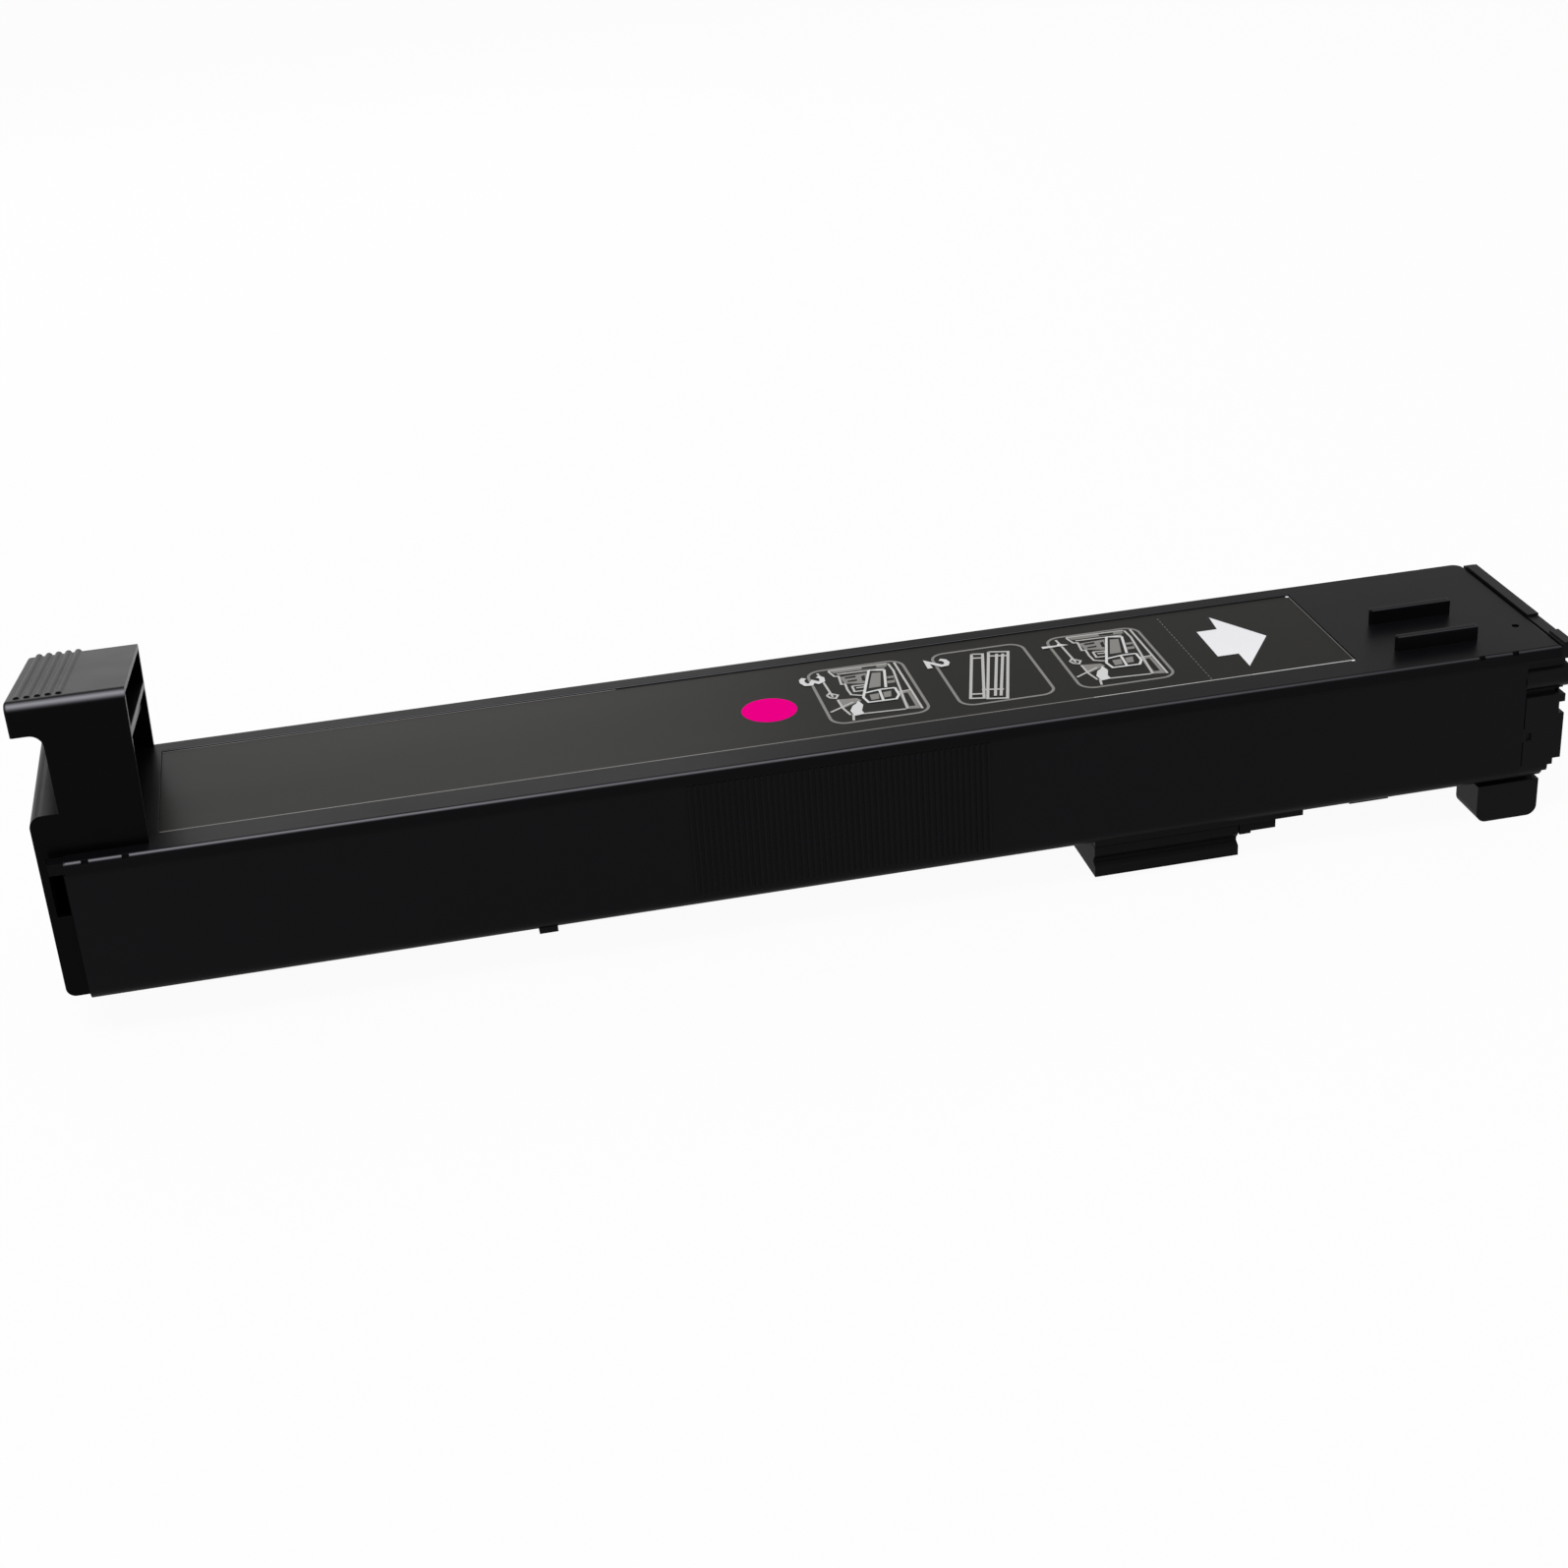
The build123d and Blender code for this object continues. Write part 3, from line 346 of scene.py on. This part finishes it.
def dress_casing():
    side = plastic("hopper_black", rgb(13, 13, 15), 0.46, 0.05, grain=0.10)
    # The cover and the cap get a painted highlight on their rounded near-top edges
    cover = plastic("cover_black", rgb(11, 11, 13), 0.34, 0.033, grain=0.08, edge_highlight=0.8)
    # The cap's edges are paled more strongly: partly wear and partly a painted highlight
    cap = plastic("cap_black", rgb(5, 5, 6), 0.28, 0.033, grain=0.06, scuff_and_sheen=1.4, edge_highlight=1.0)
    rear = plastic("rear_black", rgb(13, 13, 14), 0.42, 0.06, grain=0.06)
    inner = plastic("inner_black", rgb(14, 14, 15), 0.5, 0.04, grain=0.05)
    dress(side, "hopper")
    dress(cover, "top_cover")
    dress(cap, "front_cap")
    dress(rear, "rear_cap", "rear_feet")
    dress(inner, "shutter_track", "shutter", "chip_holder", "fill_plug")
    dress(film("label_grey", rgb(26, 25, 22), 0.34, 0.03), "label")


def dress_insides():
    acetal = plastic("white_acetal", rgb(222, 219, 210), 0.45, 0.5, grain=0.03, scuff_and_sheen=0.1)
    rubber = plastic("seal_rubber", rgb(24, 24, 24), 0.8, 0.3, grain=0.2, scuff_and_sheen=0.0)
    dress(acetal, "agitator_shaft", "film_clamp", "auger", "agitator_gear", "idler_gear")
    dress(acetal, "auger_gear", "drive_coupling", "agitator_bushes", "auger_bushes")
    dress(rubber, "shutter_seal", "shaft_seals")
    dress(film("clear_film", rgb(205, 208, 208), 0.2, 0.5), "agitator_film")
    dress(film("board_green", rgb(28, 92, 50), 0.35, 0.5), "chip_board")
    dress(metal("gold_plate", rgb(222, 180, 92), 0.28), "chip_contacts")
    dress(metal("zinc_plate", rgb(190, 190, 192), 0.35), "screws")


# Print on the label and painted highlights on its edges. Places are in mm: u along the label
# from its handle end, v across it from the near edge
label_low, label_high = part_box("label")
LABEL_L = (label_high.x - label_low.x) / MM
LABEL_W = (label_high.y - label_low.y) / MM
MITRE_LIMIT = 0.45

# Heights above the label, mm. Each shape of a piece lies LAYER_STEP above the last one
LAYER_STEP = 0.0015
LIFT_EDGE = 0.01
LIFT_FIRST = 0.02
LIFT_SLOTS = 0.045
LIFT_LINES = 0.07
LIFT_BACK = 0.14
LIFT_BLOCKS = 0.15
LIFT_OUTLINES = 0.17
LIFT_BRIGHT = 0.2

# Inks, as screen colours
INKS = {
    "white": (245, 245, 248),
    "pale": (216, 216, 216),
    "line": (190, 189, 187),
    "dim": (134, 132, 129),
    "mid": (106, 105, 103),
    "dark": (24, 23, 21),
    "magenta": (244, 0, 138),
}
INK_GLOSS = {"dark": 0.03, "magenta": 0.0}
INK_GLOSS_PLAIN = 0.05
INK_ROUGHNESS = 0.4


def ink_piece(name, shapes, ink, lift):
    """Flat ink as one piece, for print and for painted highlights. A shape is a list of
    polygons of (u, v) points that only touch each other."""
    mesh = bmesh.new()
    for n, shape in enumerate(shapes):
        z = label_high.z + (lift + n * LAYER_STEP) * MM
        for polygon in shape:
            places = [(label_low.x + u * MM, label_low.y + v * MM, z) for u, v in polygon]
            mesh.faces.new([mesh.verts.new(place) for place in places])
    bmesh.ops.recalc_face_normals(mesh, faces=mesh.faces)
    for face in mesh.faces:
        if face.normal.z < 0:
            face.normal_flip()
    data = bpy.data.meshes.new(name)
    mesh.to_mesh(data)
    mesh.free()
    piece = bpy.data.objects.new(name, data)
    piece.data.materials.append(ink)
    bpy.context.scene.collection.objects.link(piece)
    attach(piece, CASING)


def round_points(u0, u1, v0, v1, r, steps=8):
    """Points of a rounded rectangle's outline, in turn."""
    corners = ((u1 - r, v1 - r), (u0 + r, v1 - r), (u0 + r, v0 + r), (u1 - r, v0 + r))
    points = []
    for quarter, (cu, cv) in enumerate(corners):
        for i in range(steps + 1):
            a = pi / 2 * (quarter + i / steps)
            points.append((cu + r * cos(a), cv + r * sin(a)))
    return points


def frame_strip(u0, u1, v0, v1, r, width):
    """A rounded frame line as quads."""
    outer = round_points(u0, u1, v0, v1, r)
    inner = round_points(u0 + width, u1 - width, v0 + width, v1 - width, r - width)
    quads = []
    for i in range(len(outer)):
        j = (i + 1) % len(outer)
        quads.append([outer[i], outer[j], inner[j], inner[i]])
    return quads


def ribbon(points, width):
    """A line of even width through the points, mitred at its bends, as quads."""
    path = [Vector(p) for p in points]
    ways = [(b - a).normalized() for a, b in zip(path, path[1:])]
    normals = [Vector((-way.y, way.x)) for way in ways]
    sides = []
    for i, here in enumerate(path):
        near = normals[max(0, i - 1):i + 1]
        mitre = sum(near, Vector((0, 0))).normalized()
        reach = width / 2 / max(MITRE_LIMIT, mitre.dot(near[0]))
        sides.append((here + mitre * reach, here - mitre * reach))
    return [[a, b, d, c] for (a, b), (c, d) in zip(sides, sides[1:])]


def disc(at, r, steps=72):
    """A round face's outline."""
    turn = 2 * pi / steps
    return [(at[0] + r * cos(i * turn), at[1] + r * sin(i * turn)) for i in range(steps)]


# Places and widths of the print
DOT_AT = (196.4, 26.5)
DOT_R = 9.2
ARROW = (
    (349.4, 18.7), (356.8, 18.7), (356.6, 7.9), (371.0, 29.6),
    (358.2, 51.0), (357.2, 40.5), (349.8, 40.5),
)
TEAR_U = 341.0
TEAR_V = (2.0, 58.0)
DASH_PITCH = 2.4
DASH_L = 1.2
DASH_LINE = 0.22
# Painted highlights along the label's edges and at its end's corners
EDGE_LINE = 0.45
EDGE_V = 1.15
EDGE_STOPS = (0.0, 150.0, 300.0, 355.0, LABEL_L)
EDGE_HIGHLIGHT_INKS = ("dim", "dim", "line", "pale")
EDGE_FAR_L = 150.0
EDGE_END_GAP = 1.4
CORNER_IN = 0.7
CORNER_R = 0.65
FRAMES_U = ((213.6, 247.5), (257.0, 290.2), (298.0, 331.7))
FRAME_V = (8.0, 52.4)
FRAME_R = 5.4
FRAME_LINE = 1.0
STEP_SHIFTS = (-84.3, 0.0)
BAY_LINE = 0.8
BOX_LINE = 0.9
PAIR_LINE = 1.0

# The numbers of the frames, lying on their side, with their foot NUMERAL_U before the
# frame and their left edge at NUMERAL_V
NUMERAL_U = 2.8
NUMERAL_V = 47.8
NUMERAL_LINE = 1.8
NUMERAL_SIZE = 0.9

NUMERALS = {
    1: ((2.2, 6.6), (3.0, 8.6), (3.0, 0.4)),
    2: ((0.8, 6.2), (1.9, 7.8), (3.9, 8.3), (5.7, 7.4), (5.9, 5.5), (1.4, 0.9), (6.8, 0.9)),
    3: (
        (0.7, 7.1), (2.3, 8.3), (4.8, 8.0), (5.7, 6.3), (4.0, 4.6),
        (6.3, 3.2), (6.0, 1.4), (4.0, 0.5), (2.0, 0.7), (0.6, 1.9),
    ),
}


def numeral(digit, u, v):
    """A plain number lying on its side: its foot at u, its left edge at v."""
    path = [(u + NUMERAL_SIZE * b, v - a) for a, b in NUMERALS[digit]]
    return ribbon(path, NUMERAL_LINE)


# The loading pictures, as plain shapes: a bay with its open door, the cartridge at its
# mouth and a hand below. Places are those of the picture in the last frame
BAY_GREY = (
    ((306.2, 50.7), (326.2, 50.2), (325.7, 47.8), (307.4, 48.3)),
    ((308.6, 44.5), (318.0, 45.1), (315.6, 36.8), (309.0, 38.8)),
    ((303.9, 27.2), (310.3, 26.2), (311.4, 24.0), (304.4, 20.0)),
    ((323.9, 39.8), (326.2, 39.8), (325.4, 34.3), (322.6, 34.3)),
    ((324.6, 25.9), (328.4, 26.5), (328.4, 11.7), (323.8, 12.6)),
)
BAY_DARK = (
    ((317.5, 50.0), (322.6, 49.7), (322.2, 48.1), (317.2, 48.5)),
    ((310.2, 43.8), (314.0, 44.0), (313.6, 42.5), (310.0, 42.5)),
    ((315.6, 42.8), (317.0, 43.4), (316.2, 38.7), (315.2, 39.2)),
    ((325.4, 24.8), (327.3, 25.0), (327.3, 14.2), (325.2, 14.3)),
    ((323.4, 38.1), (325.8, 38.1), (325.5, 36.3), (323.0, 36.3)),
    ((310.4, 40.7), (313.8, 40.9), (313.4, 39.6), (310.2, 39.6)),
)
BAY_LINES = (
    ((302.0, 49.9), (302.3, 45.1), (302.9, 29.7)),
    ((301.2, 31.2), (302.4, 32.8), (304.8, 30.5), (303.6, 28.2), (301.9, 29.2), (301.2, 31.2)),
    ((299.6, 18.1), (308.4, 23.5)),
    ((303.9, 26.9), (304.1, 19.9), (305.4, 14.0)),
    ((308.7, 13.7), (323.7, 12.6)),
    ((305.9, 50.2), (307.0, 45.5), (308.4, 45.3), (307.8, 38.5), (309.1, 38.3), (308.8, 33.7)),
    ((308.8, 33.7), (309.1, 29.3), (312.8, 27.4)),
    ((310.9, 36.0), (310.7, 31.4), (314.8, 31.2)),
    ((310.9, 36.0), (315.2, 35.6), (314.9, 33.9), (311.9, 34.1)),
    ((305.9, 50.7), (326.4, 50.2)),
    ((308.2, 47.0), (324.6, 46.4)),
    ((326.7, 49.9), (327.1, 43.7), (324.2, 12.6)),
    ((328.9, 50.2), (328.9, 11.3)),
    ((324.0, 26.3), (328.6, 26.7)),
    ((306.3, 14.2), (305.4, 9.6)),
)
BOX_BACK = (
    (319.2, 46.6), (324.2, 44.9), (321.4, 31.2), (324.2, 29.9),
    (324.2, 24.2), (322.6, 21.1), (313.2, 21.4), (312.4, 25.7),
)
BOX_BLOCKS = (
    ((319.6, 44.0), (322.6, 43.6), (319.9, 32.4), (315.8, 32.4)),
    ((314.8, 27.1), (318.0, 27.4), (317.2, 23.1), (314.5, 22.9)),
    ((319.6, 27.6), (322.4, 28.0), (321.4, 23.6), (319.0, 23.5)),
)
BOX_LINES = (
    ((319.2, 46.6), (312.4, 25.7), (313.2, 21.4), (322.6, 21.1), (324.2, 24.2), (324.2, 29.9)),
    ((319.2, 46.6), (324.2, 44.9), (321.4, 31.2)),
    ((313.6, 29.0), (319.2, 30.1), (324.2, 29.9)),
    ((318.8, 29.5), (318.2, 21.6)),
)
HAND = (
    (307.4, 20.3), (308.9, 21.6), (310.2, 23.8), (311.0, 20.0),
    (309.6, 15.9), (309.9, 13.2), (306.4, 12.6), (305.9, 16.8),
)
PAIR_LINES = (
    ((271.4, 47.9), (275.0, 46.9), (265.8, 12.3), (261.5, 13.4), (271.4, 47.9)),
    ((277.4, 47.9), (283.8, 46.0), (273.1, 9.8), (266.8, 11.5), (277.4, 47.9)),
    ((279.6, 45.5), (269.8, 12.8)),
    ((281.6, 44.9), (271.6, 12.3)),
    ((266.9, 18.9), (273.9, 17.0)),
    ((276.6, 44.5), (282.8, 42.8)),
    ((270.4, 44.7), (273.9, 43.8)),
    ((262.2, 16.6), (266.2, 15.7)),
)


def numeral(digit, frame_u):
    """A plain number beside its frame."""
    foot = frame_u - NUMERAL_U
    path = [(foot + NUMERAL_SIZE * b, NUMERAL_V - a) for a, b in NUMERALS[digit]]
    return ribbon(path, NUMERAL_LINE)


def shifted(points, shift):
    return [(u + shift, v) for u, v in points]


def print_steps(inks):
    """The numbered frames of the loading instructions, without words."""
    frames = [frame_strip(u0, u1, *FRAME_V, FRAME_R, FRAME_LINE) for u0, u1 in FRAMES_U]
    lines, slots, backs, blocks, outlines, bright = [], [], [], [], [], []
    for shift in STEP_SHIFTS:
        frames += [[shifted(p, shift)] for p in BAY_GREY]
        slots += [[shifted(p, shift)] for p in BAY_DARK]
        lines += [ribbon(shifted(p, shift), BAY_LINE) for p in BAY_LINES]
        backs += [[shifted(BOX_BACK, shift)]]
        blocks += [[shifted(p, shift)] for p in BOX_BLOCKS]
        outlines += [ribbon(shifted(p, shift), BOX_LINE) for p in BOX_LINES]
        bright += [[shifted(HAND, shift)]]
    lines += [ribbon(p, PAIR_LINE) for p in PAIR_LINES]
    bright += [numeral(digit, u0) for digit, (u0, _) in zip((3, 2, 1), FRAMES_U)]
    ink_piece("print_frames", frames, inks["dim"], LIFT_FIRST)
    ink_piece("print_slots", slots, inks["dark"], LIFT_SLOTS)
    ink_piece("print_lines", lines, inks["line"], LIFT_LINES)
    ink_piece("print_cartridge_back", backs, inks["dark"], LIFT_BACK)
    ink_piece("print_cartridge_blocks", blocks, inks["dim"], LIFT_BLOCKS)
    ink_piece("print_cartridge_lines", outlines, inks["pale"], LIFT_OUTLINES)
    ink_piece("print_bright", bright, inks["pale"], LIFT_BRIGHT)


def label_edge_highlights(inks):
    """Painted highlights on the rims of the label's recess: pale lines along the label's near
    side, far side and end, and bright dots at its end's corners.
    """
    for i, ink in enumerate(EDGE_HIGHLIGHT_INKS):
        line = ribbon([(EDGE_STOPS[i], EDGE_V), (EDGE_STOPS[i + 1], EDGE_V)], EDGE_LINE)
        ink_piece(f"label_edge_{i}", [line], inks[ink], LIFT_EDGE)
    v, u = LABEL_W - EDGE_LINE / 2, LABEL_L - EDGE_LINE / 2
    far = ribbon([(0, v), (EDGE_FAR_L, v)], EDGE_LINE)
    end = ribbon([(u, EDGE_END_GAP), (u, LABEL_W - EDGE_END_GAP)], EDGE_LINE)
    ink_piece("label_far_edge_highlight", [far], inks["dim"], LIFT_EDGE)
    ink_piece("label_end_edge_highlight", [end], inks["mid"], LIFT_EDGE)
    across = (CORNER_IN, LABEL_W - CORNER_IN)
    corners = [[disc((LABEL_L - CORNER_IN, v), CORNER_R, steps=16)] for v in across]
    ink_piece("label_corner_highlights", corners, inks["white"], LIFT_FIRST)


def tear_line():
    """Short dashes across the label."""
    quads = []
    for i in range(int((TEAR_V[1] - TEAR_V[0]) / DASH_PITCH)):
        v = TEAR_V[0] + i * DASH_PITCH
        quads += ribbon([(TEAR_U, v), (TEAR_U, v + DASH_L)], DASH_LINE)
    return quads


def print_label():
    """Everything printed on the label, and the painted highlights on its edges, as pieces of
    flat ink.
    """
    inks = {}
    for ink, colour in INKS.items():
        gloss = INK_GLOSS.get(ink, INK_GLOSS_PLAIN)
        inks[ink] = film(f"ink_{ink}", rgb(*colour), INK_ROUGHNESS, gloss)
    ink_piece("colour_dot", [[disc(DOT_AT, DOT_R)]], inks["magenta"], LIFT_FIRST)
    ink_piece("arrow", [[ARROW]], inks["white"], LIFT_FIRST)
    ink_piece("tear_line", [tear_line()], inks["dim"], LIFT_FIRST)
    label_edge_highlights(inks)
    print_steps(inks)


make_camera()
make_world()
make_lights()
make_floor()
dress_casing()
dress_insides()
print_label()

bpy.context.scene.view_settings.view_transform = "Standard"
